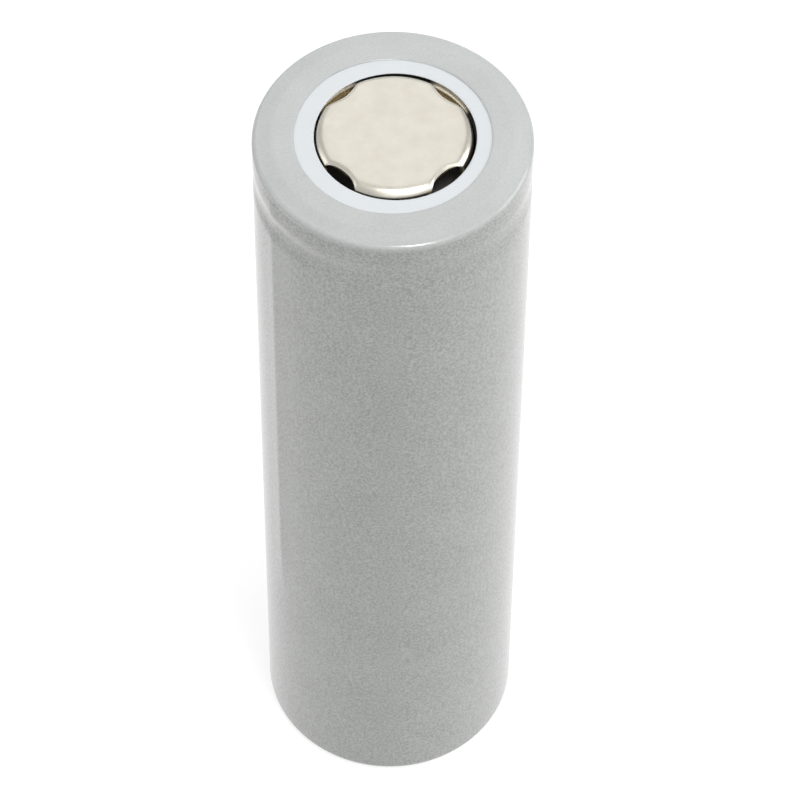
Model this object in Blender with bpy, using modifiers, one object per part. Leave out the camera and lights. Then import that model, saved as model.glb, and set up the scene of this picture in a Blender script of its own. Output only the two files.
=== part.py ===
"""A cylindrical lithium-ion cell: a wound electrode roll in a steel can, closed by a crimped header and
wrapped in shrink film. Metres, +Z up along the cell's axis, origin at the centre of the lowest face,
positive end up."""

import math

import bmesh
import bpy
from mathutils import Vector

MM = 0.001

# Driving dimensions, in millimetres.
CELL_DIAMETER = 18.4
CELL_HEIGHT = 65.0
FILM = 0.10
CAN_DIAMETER = 18.16
CAN_WALL = 0.25
CAN_BASE = 0.30
BEAD_Z = 61.20
GAP = 0.02

# Roundness of the turned pieces, and of the wound ones.
SEGMENTS = 36
WOUND_SEGMENTS = 16
ARC_STEPS = 4
MERGE = 1e-6

# Heights of the header's stack, from the plateau of the cap down.
FILM_TOP = CELL_HEIGHT - 0.20
FILM_RIM_DROP = 0.24
WASHER_TOP = FILM_TOP - FILM - GAP
WASHER = 0.23
LIP_TOP = WASHER_TOP - WASHER - GAP
LIP_BOTTOM = LIP_TOP - CAN_WALL
GASKET_LIP = 0.41
FLANGE = 0.33
RING = 0.30
GASKET_FOOT = 0.46
FLANGE_TOP = LIP_BOTTOM - GASKET_LIP - 2 * GAP
FLANGE_BOTTOM = FLANGE_TOP - FLANGE
PTC_TOP = FLANGE_BOTTOM - GAP
PTC_BOTTOM = PTC_TOP - RING
VENT_TOP = PTC_BOTTOM - GAP
VENT_BOTTOM = VENT_TOP - RING
GASKET_FOOT_TOP = VENT_BOTTOM - GAP
GASKET_BOTTOM = GASKET_FOOT_TOP - GASKET_FOOT

# Radii of the header.
STACK_RADIUS = 7.90
LIP_RADIUS = 7.30
GASKET_HOLE = 5.40
GASKET_FOOT_HOLE = 5.60
WASHER_HOLE = 5.30
WASHER_RADIUS = 7.70
WASHER_DRIFT = 0.16
FILM_HOLE = 6.45
FILM_FLAT_RADIUS = 7.90
FILM_FOOT_HOLE = 7.30
PLATEAU_RADIUS = 4.45
SHOULDER = 0.73
CAP_WALL = 0.35
CAP_DRIFT = 0.07
VENT_COUNT = 4
VENT_CUT_RADIUS = 2.50
VENT_CUT_REACH = 4.47

# The current interrupt under the vent disc.
SHELF_DROP = 0.56
SHELF = 0.20
SCORE_RADIUS = 2.60
SCORE_GAP = 0.05
STEP_RADIUS = 4.90
PLATE = 0.30
PLATE_HOLE_RADIUS = 0.45
PLATE_HOLE_CIRCLE = 2.90

# The wound roll.
PIN_RADIUS = 1.50
PIN_WALL = 0.30
ROLL_INNER = 2.20
ROLL_OUTER = 8.40
TURNS = 6
SEPARATOR_Z = (1.10, 59.00)
ANODE_Z = (1.60, 58.50)
CATHODE_Z = (2.10, 58.00)
PIN_Z = (2.50, 57.50)
ROLL_TAPE_Z = (5.0, 55.0)
ROLL_TAPE = 0.06

# Tabs, tapes and insulators.
TAB = 0.10
TAB_TAPE = 0.05
POSITIVE_TAB_WIDTH = 2.60
NEGATIVE_TAB_WIDTH = 3.00
UPPER_INSULATOR_Z = (59.50, 59.75)
LOWER_INSULATOR_Z = (0.60, 0.80)


def clear_scene():
    for item in list(bpy.data.objects):
        bpy.data.objects.remove(item)


def new_collection(name):
    collection = bpy.data.collections.new(name)
    bpy.context.scene.collection.children.link(collection)
    return collection


def new_material(name, colour, roughness, metallic=0.0):
    material = bpy.data.materials.new(name)
    material.use_nodes = True
    shader = material.node_tree.nodes["Principled BSDF"]
    shader.inputs["Base Color"].default_value = (*colour, 1.0)
    shader.inputs["Roughness"].default_value = roughness
    shader.inputs["Metallic"].default_value = metallic
    material.diffuse_color = (*colour, 1.0)
    return material


def new_object(name, mesh, material, collection):
    item = bpy.data.objects.new(name, mesh)
    collection.objects.link(item)
    if material:
        mesh.materials.append(material)
    return item


def arc(centre, radius, start, end):
    """Points of a round corner in the (radius, height) plane, angles in degrees, both ends included."""
    points = []
    for step in range(ARC_STEPS + 1):
        angle = math.radians(start + (end - start) * step / ARC_STEPS)
        points.append((centre[0] + radius * math.cos(angle), centre[1] + radius * math.sin(angle)))
    return points


def turned(name, profile, material, collection, closed=True, origin_z=0.0):
    """A turned piece. The (radius, height) profile runs down the piece's outer side. A profile that
    isn't closed starts and ends on the axis."""
    mesh = bpy.data.meshes.new(name)
    points = [(radius * MM, 0.0, (height - origin_z) * MM) for radius, height in profile]
    edges = [(i, i + 1) for i in range(len(points) - 1)]
    if closed:
        edges.append((len(points) - 1, 0))
    mesh.from_pydata(points, edges, [])
    item = new_object(name, mesh, material, collection)
    item.location = (0.0, 0.0, origin_z * MM)
    screw = item.modifiers.new("turn", "SCREW")
    screw.axis = "Z"
    screw.steps = SEGMENTS
    screw.render_steps = SEGMENTS
    screw.use_merge_vertices = True
    screw.merge_threshold = MERGE
    screw.use_smooth_shade = True
    return item


def sheet(name, points, across, thickness, material, collection, inward=False):
    """A thin sheet: an open line of points, swept by the vector across, given its thickness about its middle."""
    mesh = bpy.data.meshes.new(name)
    surface = bmesh.new()
    near = [surface.verts.new(Vector(point) * MM) for point in points]
    far = [surface.verts.new((Vector(point) + Vector(across)) * MM) for point in points]
    for i in range(len(points) - 1):
        surface.faces.new((near[i], near[i + 1], far[i + 1], far[i]))
    surface.normal_update()
    surface.to_mesh(mesh)
    surface.free()
    item = new_object(name, mesh, material, collection)
    solidify = item.modifiers.new("thickness", "SOLIDIFY")
    solidify.thickness = thickness * MM
    solidify.offset = 0.0
    solidify.use_even_offset = True
    return item


def wound(name, inner_radius, pitch, angles, heights, thickness, material, collection):
    """A sheet wound about the axis: its middle starts at inner_radius and moves out by pitch each turn."""
    start, end = angles
    steps = max(1, round((end - start) * WOUND_SEGMENTS / 360.0))
    points = []
    for step in range(steps + 1):
        angle = start + (end - start) * step / steps
        radius = inner_radius + pitch * angle / 360.0
        turn = math.radians(angle)
        points.append((radius * math.cos(turn), radius * math.sin(turn), heights[0]))
    return sheet(name, points, (0.0, 0.0, heights[1] - heights[0]), thickness, material, collection)


def strip(name, line, width, thickness, material, collection):
    """A flat strip of metal or tape, bent in the XZ plane along the (x, z) points of its middle line."""
    points = [(x, -width / 2, z) for x, z in line]
    return sheet(name, points, (0.0, width, 0.0), thickness, material, collection)


def disc(name, radius, heights, material, collection):
    mesh = bpy.data.meshes.new(name)
    shape = bmesh.new()
    bmesh.ops.create_cone(
        shape, cap_ends=True, segments=SEGMENTS,
        radius1=radius * MM, radius2=radius * MM, depth=(heights[1] - heights[0]) * MM,
    )
    shape.to_mesh(mesh)
    shape.free()
    item = new_object(name, mesh, material, collection)
    item.location = (0.0, 0.0, (heights[0] + heights[1]) / 2 * MM)
    return item


def drill(item, name, radius, place, heights, segments, cutters):
    """Cuts a round upright hole or bay out of item, at the (x, y) place."""
    mesh = bpy.data.meshes.new(name)
    shape = bmesh.new()
    bmesh.ops.create_cone(
        shape, cap_ends=True, segments=segments,
        radius1=radius * MM, radius2=radius * MM, depth=(heights[1] - heights[0]) * MM,
    )
    shape.to_mesh(mesh)
    shape.free()
    cutter = new_object(name, mesh, None, cutters)
    cutter.location = (place[0] * MM, place[1] * MM, (heights[0] + heights[1]) / 2 * MM)
    cutter.display_type = "WIRE"
    cutter.hide_render = True
    cut = item.modifiers.new(name, "BOOLEAN")
    cut.operation = "DIFFERENCE"
    cut.solver = "EXACT"
    cut.object = cutter


def on_circle(radius, count, first_angle):
    for index in range(count):
        angle = math.radians(first_angle + 360.0 * index / count)
        yield radius * math.cos(angle), radius * math.sin(angle)


def make_sleeve(material, collection):
    """Shrink film over the can, folded onto both ends and drawn in a little over the bead. At the top it
    lies flat on the washer, then slopes down off the washer's edge to the can's rim."""
    outer = CELL_DIAMETER / 2
    inner = outer - FILM
    shoulder = 0.40
    foot = 0.60
    dent = 0.08
    rim = (outer - shoulder, FILM_TOP - FILM_RIM_DROP - shoulder)
    profile = [(FILM_HOLE, FILM_TOP), (FILM_FLAT_RADIUS, FILM_TOP)]
    profile += arc(rim, shoulder, 90, 0)
    for radius, side in ((outer, 1), (inner, -1)):
        waist = [(radius, BEAD_Z + 0.90), (radius - dent, BEAD_Z + 0.30)]
        waist += [(radius - dent, BEAD_Z - 0.30), (radius, BEAD_Z - 0.90)]
        if side == 1:
            profile += waist + arc((outer - foot, foot), foot, 0, -90)
            profile += [(FILM_FOOT_HOLE, 0.0), (FILM_FOOT_HOLE, FILM)]
            profile += arc((outer - foot, foot), foot - FILM, -90, 0)
        else:
            profile += reversed(waist)
    profile += arc(rim, shoulder - FILM, 0, 90)
    profile += [(FILM_FLAT_RADIUS, FILM_TOP - FILM), (FILM_HOLE, FILM_TOP - FILM)]
    return turned("sleeve", profile, material, collection)


def make_top_washer(material, collection):
    """Fibre washer on the can's lip, stuck down a little off centre."""
    profile = [(WASHER_HOLE, WASHER_TOP), (WASHER_RADIUS, WASHER_TOP)]
    profile += [(WASHER_RADIUS, WASHER_TOP - WASHER), (WASHER_HOLE, WASHER_TOP - WASHER)]
    washer = turned("top_washer", profile, material, collection)
    washer.location.x = WASHER_DRIFT * MM
    return washer


def make_can(material, collection):
    """Deep-drawn steel can, the negative terminal: flat base, rolled bead, lip crimped over the header."""
    outer = CAN_DIAMETER / 2
    inner = outer - CAN_WALL
    corner = 0.50
    crimp_corner = 0.33
    base_z = FILM
    rim_z = base_z + 0.04
    floor_z = base_z + CAN_BASE
    profile = [(0.0, floor_z)]
    profile += arc((outer - corner, floor_z + corner - CAN_WALL), corner - CAN_WALL, -90, 0)
    profile += [(inner, BEAD_Z - 0.90), (inner - 0.23, BEAD_Z - 0.75), (inner - 0.88, BEAD_Z - 0.35)]
    profile += [(inner - 0.88, BEAD_Z + 0.35), (inner - 0.23, BEAD_Z + 0.75), (inner, BEAD_Z + 0.90)]
    profile += [(inner, LIP_BOTTOM - 0.08), (inner - 0.08, LIP_BOTTOM)]
    profile += [(LIP_RADIUS, LIP_BOTTOM), (LIP_RADIUS, LIP_TOP)]
    profile += arc((outer - crimp_corner, LIP_TOP - crimp_corner), crimp_corner, 90, 0)
    profile += [(outer, BEAD_Z + 0.85), (outer - 0.28, BEAD_Z + 0.60), (outer - 0.88, BEAD_Z + 0.25)]
    profile += [(outer - 0.88, BEAD_Z - 0.25), (outer - 0.28, BEAD_Z - 0.60), (outer, BEAD_Z - 0.85)]
    profile += arc((outer - corner, rim_z + corner), corner, 0, -90)
    profile += [(7.40, rim_z), (7.10, base_z), (0.0, base_z)]
    return turned("can", profile, material, collection, closed=False)


def make_gasket(material, collection):
    """Sealing gasket between can and header: a channel that grips the edge of the whole stack. Its lip
    reaches in over the cap's flange, chamfered to clear the foot of the cap's wall."""
    outer = CAN_DIAMETER / 2 - CAN_WALL - 0.05
    bore = STACK_RADIUS + 0.05
    top = LIP_BOTTOM - GAP
    chamfer = GASKET_LIP / 2
    profile = [(GASKET_HOLE, top), (outer - 0.28, top), (outer, top - 0.26), (outer, GASKET_BOTTOM + 0.22)]
    profile += [(outer - 0.18, GASKET_BOTTOM), (GASKET_FOOT_HOLE, GASKET_BOTTOM)]
    profile += [(GASKET_FOOT_HOLE, GASKET_FOOT_TOP), (bore, GASKET_FOOT_TOP), (bore, top - GASKET_LIP)]
    profile += [(GASKET_HOLE + chamfer, top - GASKET_LIP), (GASKET_HOLE, top - chamfer)]
    return turned("crimp_gasket", profile, material, collection)


def make_positive_cap(material, collection, cutters):
    """Pressed cap, the positive terminal: a flange in the stack, a rounded plateau, four scalloped gas
    vents. Its flange is small enough to sit a little off centre in the gasket."""
    inner_top = CELL_HEIGHT - CAP_WALL
    centre = (PLATEAU_RADIUS, CELL_HEIGHT - SHOULDER)
    profile = [(0.0, CELL_HEIGHT)]
    profile += arc(centre, SHOULDER, 90, 0)
    wall = PLATEAU_RADIUS + SHOULDER
    bore = wall - CAP_WALL
    edge = STACK_RADIUS - CAP_DRIFT
    wall_lean = 0.02
    foot_start = 0.27
    foot_end = 0.07
    foot_lean = 0.05
    foot_spread = 0.16
    bore_spread = 0.12
    profile += [(wall + wall_lean, FLANGE_TOP + foot_start), (wall + foot_lean, FLANGE_TOP + foot_end)]
    profile += [(wall + foot_spread, FLANGE_TOP), (edge, FLANGE_TOP), (edge, FLANGE_BOTTOM)]
    profile += [(bore + bore_spread, FLANGE_BOTTOM), (bore + foot_lean, FLANGE_TOP + foot_end)]
    profile += arc(centre, SHOULDER - CAP_WALL, 0, 90)
    profile.append((0.0, inner_top))
    cap = turned("positive_cap", profile, material, collection, closed=False)
    cap.location.x = CAP_DRIFT * MM
    reach = VENT_CUT_REACH + VENT_CUT_RADIUS
    heights = (FLANGE_TOP + 0.05, CELL_HEIGHT + 1.0)
    for index, (x, y) in enumerate(on_circle(reach, VENT_COUNT, 45.0)):
        drill(cap, f"vent_cut_{index}", VENT_CUT_RADIUS, (x + CAP_DRIFT, y), heights, SEGMENTS, cutters)
    return cap


def make_ptc_ring(material, collection):
    hole = 4.90
    profile = [(hole, PTC_TOP), (STACK_RADIUS, PTC_TOP), (STACK_RADIUS, PTC_BOTTOM), (hole, PTC_BOTTOM)]
    return turned("ptc_ring", profile, material, collection)


def make_vent_disc(material, collection):
    """Aluminium vent disc out to its score line: a flange, a step down and a thin shelf."""
    shelf_top = VENT_TOP - SHELF_DROP
    profile = [(SCORE_RADIUS, shelf_top), (STEP_RADIUS - 0.35, shelf_top), (STEP_RADIUS - 0.15, VENT_TOP)]
    profile += [(STACK_RADIUS, VENT_TOP), (STACK_RADIUS, VENT_BOTTOM), (STEP_RADIUS, VENT_BOTTOM)]
    profile += [(STEP_RADIUS - 0.15, shelf_top - SHELF), (SCORE_RADIUS, shelf_top - SHELF)]
    return turned("vent_disc", profile, material, collection)


def make_vent_disc_centre(material, collection):
    """The dimpled middle of the vent disc, inside the score line. It jumps up off the plate under
    pressure."""
    radius = SCORE_RADIUS - SCORE_GAP
    thickness = 0.12
    shelf_top = VENT_TOP - SHELF_DROP - 0.04
    dimple = 0.28
    profile = [(0.0, shelf_top - dimple), (0.80, shelf_top - dimple), (1.50, shelf_top), (radius, shelf_top)]
    profile += [(radius, shelf_top - thickness), (1.55, shelf_top - thickness)]
    profile += [(0.90, shelf_top - thickness - dimple), (0.0, shelf_top - thickness - dimple)]
    origin = shelf_top - thickness - dimple
    return turned("vent_disc_centre", profile, material, collection, closed=False, origin_z=origin)


def make_cid_insulating_ring(material, collection):
    """Keeps the plate under it off the vent disc, so that the dimple is the only way for current."""
    outer = 5.25
    bore = STEP_RADIUS + 0.05
    shelf_top = VENT_TOP - SHELF_DROP - SHELF - 2 * GAP
    shelf_bottom = shelf_top - 0.20
    profile = [(bore, VENT_BOTTOM - 2 * GAP), (outer, VENT_BOTTOM - 2 * GAP)]
    profile += [(outer, shelf_bottom - PLATE - 2 * GAP), (bore, shelf_bottom - PLATE - 2 * GAP)]
    profile += [(bore, shelf_bottom), (3.30, shelf_bottom), (3.30, shelf_top), (bore, shelf_top)]
    return turned("cid_insulating_ring", profile, material, collection)


def make_cid_plate(material, collection, cutters):
    top = VENT_TOP - SHELF_DROP - SHELF - 0.20 - 3 * GAP
    plate = disc("cid_plate", STEP_RADIUS, (top - PLATE, top), material, collection)
    for index, place in enumerate(on_circle(PLATE_HOLE_CIRCLE, VENT_COUNT, 45.0)):
        drill(plate, f"plate_cut_{index}", PLATE_HOLE_RADIUS, place, (top - 1.0, top + 1.0), 12, cutters)
    return plate


def make_roll(materials, collection):
    """Cathode and anode wound with a separator between each turn. Each turn here is thicker than the
    real foils' turn, and the roll has the real roll's size."""
    pitch = (ROLL_OUTER - ROLL_INNER) / (TURNS + 1)
    gap = 0.025 * pitch
    separator = 0.09 * pitch
    electrode = pitch / 2 - separator - 2 * gap
    layers = (
        ("separator_inner", separator, SEPARATOR_Z, materials["separator"]),
        ("cathode", electrode, CATHODE_Z, materials["cathode"]),
        ("separator_outer", separator, SEPARATOR_Z, materials["separator"]),
        ("anode", electrode, ANODE_Z, materials["anode"]),
    )
    reach = ROLL_INNER
    for name, thickness, heights, material in layers:
        wound(
            name, reach + thickness / 2, pitch, (0.0, 360.0 * TURNS), heights, thickness,
            material, collection,
        )
        reach += thickness + gap


def make_centre_pin(material, collection):
    """Slotted steel tube in the roll's core, which keeps the gas channel open."""
    middle = PIN_RADIUS - PIN_WALL / 2
    wound("centre_pin", middle, 0.0, (100.0, 440.0), PIN_Z, PIN_WALL, material, collection)


def make_roll_tape(material, collection):
    """Tape round the finished roll. Its ends stop short of the negative tab."""
    middle = ROLL_OUTER + GAP + ROLL_TAPE / 2
    wound("roll_tape", middle, 0.0, (22.5, 337.5), ROLL_TAPE_Z, ROLL_TAPE, material, collection)


def make_positive_tab(material, collection):
    """Aluminium tab: up the roll's core, through the insulator, folded back under the plate."""
    rise_x = PIN_RADIUS + 0.04 + TAB / 2
    weld_z = VENT_TOP - SHELF_DROP - SHELF - 0.20 - PLATE - 4 * GAP - TAB / 2
    fold = 0.50
    bend = 0.35
    run_z = weld_z - 2 * fold
    line = [(rise_x, 30.0)]
    line += arc((rise_x - bend, run_z - bend), bend, 0, 90)
    line += arc((-2.30, run_z + fold), fold, -90, -270)
    line.append((1.50, weld_z))
    strip("positive_tab", line, POSITIVE_TAB_WIDTH, TAB, material, collection)


def make_positive_tab_tape(material, collection):
    x = PIN_RADIUS + 0.04 + TAB + GAP + TAB_TAPE / 2
    line = [(x, 52.0), (x, 60.1)]
    strip("positive_tab_tape", line, POSITIVE_TAB_WIDTH - 0.2, TAB_TAPE, material, collection)


def negative_tab_x():
    return ROLL_OUTER + GAP + TAB / 2


def make_negative_tab(material, collection):
    """Nickel tab: down the outside of the roll, folded flat along the can's floor to its centre."""
    bend = 0.68
    run_z = FILM + CAN_BASE + GAP + TAB / 2
    line = [(-2.0, run_z)]
    line += arc((negative_tab_x() - bend, run_z + bend), bend, -90, 0)
    line.append((negative_tab_x(), 50.0))
    strip("negative_tab", line, NEGATIVE_TAB_WIDTH, TAB, material, collection)


def make_negative_tab_tape(material, collection):
    x = negative_tab_x() + TAB / 2 + GAP + TAB_TAPE / 2
    strip("negative_tab_tape", [(x, 1.6), (x, 9.0)], NEGATIVE_TAB_WIDTH + 0.2, TAB_TAPE, material, collection)


def make_insulators(material, collection, cutters):
    upper = disc("upper_insulator", 8.60, UPPER_INSULATOR_Z, material, collection)
    through = (UPPER_INSULATOR_Z[0] - 1.0, UPPER_INSULATOR_Z[1] + 1.0)
    drill(upper, "tab_hole", 2.30, (0.0, 0.0), through, SEGMENTS, cutters)
    for index, place in enumerate(on_circle(5.40, 3, 90.0)):
        drill(upper, f"gas_hole_{index}", 1.10, place, through, 12, cutters)
    lower = disc("lower_insulator", 7.95, LOWER_INSULATOR_Z, material, collection)
    through = (LOWER_INSULATOR_Z[0] - 1.0, LOWER_INSULATOR_Z[1] + 1.0)
    drill(lower, "weld_hole", 1.50, (0.0, 0.0), through, SEGMENTS, cutters)


def make_cell():
    clear_scene()
    cell = new_collection("cylindrical_cell")
    cutters = new_collection("cutters")
    film = new_material("shrink_film", (0.40, 0.41, 0.41), 0.45)
    fibre = new_material("fibre_paper", (0.82, 0.84, 0.86), 0.80)
    nickel_steel = new_material("nickel_plated_steel", (0.66, 0.64, 0.58), 0.30, 1.0)
    can_steel = new_material("can_steel", (0.60, 0.60, 0.58), 0.32, 1.0)
    aluminium = new_material("aluminium", (0.80, 0.80, 0.81), 0.35, 1.0)
    nickel = new_material("nickel", (0.63, 0.61, 0.56), 0.35, 1.0)
    gasket = new_material("gasket_plastic", (0.80, 0.76, 0.66), 0.45)
    polymer_ring = new_material("resistor_polymer", (0.05, 0.05, 0.05), 0.55)
    insulator = new_material("insulator_plastic", (0.75, 0.76, 0.72), 0.60)
    tape = new_material("polyimide_tape", (0.62, 0.36, 0.08), 0.35)
    roll = {
        "separator": new_material("separator_film", (0.88, 0.89, 0.90), 0.55),
        "cathode": new_material("cathode_coating", (0.035, 0.035, 0.04), 0.75),
        "anode": new_material("anode_coating", (0.075, 0.075, 0.08), 0.70),
    }
    make_sleeve(film, cell)
    make_top_washer(fibre, cell)
    make_can(can_steel, cell)
    make_gasket(gasket, cell)
    make_positive_cap(nickel_steel, cell, cutters)
    make_ptc_ring(polymer_ring, cell)
    make_vent_disc(aluminium, cell)
    make_vent_disc_centre(aluminium, cell)
    make_cid_insulating_ring(insulator, cell)
    make_cid_plate(aluminium, cell, cutters)
    make_roll(roll, cell)
    make_centre_pin(nickel_steel, cell)
    make_roll_tape(tape, cell)
    make_positive_tab(aluminium, cell)
    make_positive_tab_tape(tape, cell)
    make_negative_tab(nickel, cell)
    make_negative_tab_tape(tape, cell)
    make_insulators(insulator, cell, cutters)


make_cell()
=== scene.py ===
"""The looks of a cylindrical lithium-ion cell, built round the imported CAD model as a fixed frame."""
import math

import bmesh
import bpy
import numpy as np
from mathutils import Matrix, Vector


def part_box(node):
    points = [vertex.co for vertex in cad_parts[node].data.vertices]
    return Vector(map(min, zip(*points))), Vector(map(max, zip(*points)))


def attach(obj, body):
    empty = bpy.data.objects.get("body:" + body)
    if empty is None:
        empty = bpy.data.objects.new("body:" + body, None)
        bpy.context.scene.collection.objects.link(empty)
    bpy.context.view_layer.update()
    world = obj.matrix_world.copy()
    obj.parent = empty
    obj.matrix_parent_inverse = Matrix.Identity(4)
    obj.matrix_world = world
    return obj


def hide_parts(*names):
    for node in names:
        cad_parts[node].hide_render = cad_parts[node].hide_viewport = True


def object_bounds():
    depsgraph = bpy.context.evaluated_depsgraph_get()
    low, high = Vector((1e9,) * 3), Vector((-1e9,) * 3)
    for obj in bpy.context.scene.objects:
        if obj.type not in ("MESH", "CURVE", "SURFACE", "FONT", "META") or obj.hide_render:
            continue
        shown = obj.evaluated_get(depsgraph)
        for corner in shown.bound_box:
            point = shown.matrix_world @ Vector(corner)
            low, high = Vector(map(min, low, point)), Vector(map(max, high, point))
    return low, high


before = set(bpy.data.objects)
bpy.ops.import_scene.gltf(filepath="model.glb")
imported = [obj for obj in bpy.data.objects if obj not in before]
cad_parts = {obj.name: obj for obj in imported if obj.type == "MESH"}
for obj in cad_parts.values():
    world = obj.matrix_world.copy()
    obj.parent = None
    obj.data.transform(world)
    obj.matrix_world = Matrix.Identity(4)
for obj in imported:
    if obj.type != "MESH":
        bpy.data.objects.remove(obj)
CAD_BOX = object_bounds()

MM = 0.001
TAU = 2 * math.pi

# ---------------------------------------------------------------- sizes, in millimetres, from the frame


def span(node):
    """(outer radius, lowest, highest) of a round node, in millimetres."""
    low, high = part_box(node)
    return (high.x - low.x) / 2 / MM, low.z / MM, high.z / MM


def off_axis(node):
    """How far a round node lies off the cell's axis along X, in metres."""
    low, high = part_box(node)
    return (low.x + high.x) / 2


FILM_RADIUS, _, FILM_TOP = span("sleeve")
WASHER_RADIUS, WASHER_BOTTOM, WASHER_TOP = span("top_washer")
CAN_RADIUS, CAN_BOTTOM, CAN_TOP = span("can")
GASKET_RADIUS, GASKET_BOTTOM, GASKET_TOP = span("crimp_gasket")
CAP_RADIUS, FLANGE_BOTTOM, PLATEAU_TOP = span("positive_cap")
PTC_RADIUS, PTC_BOTTOM, PTC_TOP = span("ptc_ring")
VENT_RADIUS, SHELF_BOTTOM, VENT_TOP = span("vent_disc")
SCORE_RADIUS, _, DIMPLE_TOP = span("vent_disc_centre")
RING_RADIUS, RING_BOTTOM, RING_TOP = span("cid_insulating_ring")
PLATE_RADIUS, PLATE_BOTTOM, PLATE_TOP = span("cid_plate")
UPPER_RADIUS, UPPER_BOTTOM, UPPER_TOP = span("upper_insulator")
LOWER_RADIUS, LOWER_BOTTOM, LOWER_TOP = span("lower_insulator")
PIN_RADIUS, PIN_BOTTOM, PIN_TOP = span("centre_pin")

FILM = 0.10
FILM_HOLE = 6.45
FILM_RIM_DROP = 0.24
FILM_SHOULDER = 0.40
FILM_FOOT = 0.60
FILM_FOOT_HOLE = 7.30
WASHER_HOLE = 5.30
CAN_WALL = 0.25
LIP_RADIUS = 7.30
GASKET_HOLE = 5.40
GASKET_FOOT_HOLE = 5.60
GASKET_LIP = 0.41
BEAD_Z = 61.20
BEAD_DEPTH = 0.88
BEAD_HALF = 0.85
FILM_CLEARANCE = 0.02
FOLD_ANGLE = 212.5
FOLD_HALF_ANGLE = 8.8
WAIST_LEAST = 0.06
WAIST_EXTRA = 0.11
RIM_TAPER = 0.055
FLANGE = 0.33
PLATEAU_RADIUS = 4.45
SHOULDER = 0.73
SHOULDER_WIDTH = 0.95
SHOULDER_POWER = 2.2
VENT_COUNT = 4
VENT_CUT_RADIUS = 2.50
VENT_CUT_REACH = 4.47

ROUND = 288
FINE = 144

# ---------------------------------------------------------------- mesh helpers


def smooth_step(value, low, high):
    t = np.clip((np.asarray(value, float) - low) / (high - low), 0.0, 1.0)
    return t * t * (3 - 2 * t)


def bump(value, centre, width):
    """A smooth bell of height 1."""
    return np.exp(-(((np.asarray(value, float) - centre) / width) ** 2))


def ripple(angle, seed, harmonics, decay=1.0):
    """A smooth closed wave round the axis, within about -1 to 1, the same each run."""
    generator = np.random.default_rng(seed)
    total = np.zeros_like(angle)
    weight = 0.0
    for order in harmonics:
        size = order ** -decay
        total += size * np.sin(order * angle + generator.uniform(0, TAU))
        weight += size
    return total / weight


def arc(centre, radius, start, end, steps=8):
    """(radius, height) points of a round corner, angles in degrees, both ends included."""
    angles = np.radians(np.linspace(start, end, steps + 1))
    return [(centre[0] + radius * math.cos(a), centre[1] + radius * math.sin(a)) for a in angles]


def dense(points, step):
    """The same line of points, with no stretch longer than step."""
    result = [points[0]]
    for (r0, z0), (r1, z1) in zip(points, points[1:]):
        count = max(1, math.ceil(math.hypot(r1 - r0, z1 - z0) / step))
        for index in range(1, count + 1):
            share = index / count
            result.append((r0 + (r1 - r0) * share, z0 + (z1 - z0) * share))
    return result


def finish_mesh(name, vertices, faces, sharp_degrees=38.0):
    """A mesh object in metres from points in millimetres, shaded smooth with its sharp edges kept."""
    mesh = bpy.data.meshes.new(name)
    mesh.from_pydata([(x * MM, y * MM, z * MM) for x, y, z in vertices], [], faces)
    mesh.validate()
    shape = bmesh.new()
    shape.from_mesh(mesh)
    bmesh.ops.recalc_face_normals(shape, faces=shape.faces)
    shape.to_mesh(mesh)
    shape.free()
    mesh.shade_smooth()
    mesh.set_sharp_from_angle(angle=math.radians(sharp_degrees))
    piece = bpy.data.objects.new(name, mesh)
    bpy.context.scene.collection.objects.link(piece)
    return piece


def lathe(name, profile, segments=ROUND, closed=True, warp=None, sharp_degrees=38.0):
    """Turns a (radius, height) profile about the axis. An open profile starts and ends on the axis.
    warp(angle, radius, height) moves the points of each angle, as arrays."""
    profile = np.array(profile, float)
    vertices = []
    rings = []
    angles = np.arange(segments) * TAU / segments
    for radius, height in profile:
        if radius < 1e-9:
            rings.append([len(vertices)])
            vertices.append((0.0, 0.0, height))
            continue
        radii = np.full(segments, radius)
        heights = np.full(segments, height)
        if warp:
            radii, heights = warp(angles, radii, heights)
        rings.append(list(range(len(vertices), len(vertices) + segments)))
        vertices.extend(zip(radii * np.cos(angles), radii * np.sin(angles), heights))
    pairs = list(zip(rings, rings[1:]))
    if closed:
        pairs.append((rings[-1], rings[0]))
    faces = []
    for one, two in pairs:
        for i in range(segments):
            j = (i + 1) % segments
            if len(one) == 1:
                faces.append((one[0], two[i], two[j]))
            elif len(two) == 1:
                faces.append((one[j], one[i], two[0]))
            else:
                faces.append((one[j], one[i], two[i], two[j]))
    return finish_mesh(name, vertices, faces, sharp_degrees)


def place(piece, body, node, slot, *materials):
    """Gives a finished piece its materials, sets it on the body that it rides on and hides its CAD node.
    The slot is not used.
    """
    for material in materials:
        piece.data.materials.append(material)
    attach(piece, body)
    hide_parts(node)
    return piece


# ---------------------------------------------------------------- material helpers


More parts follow.
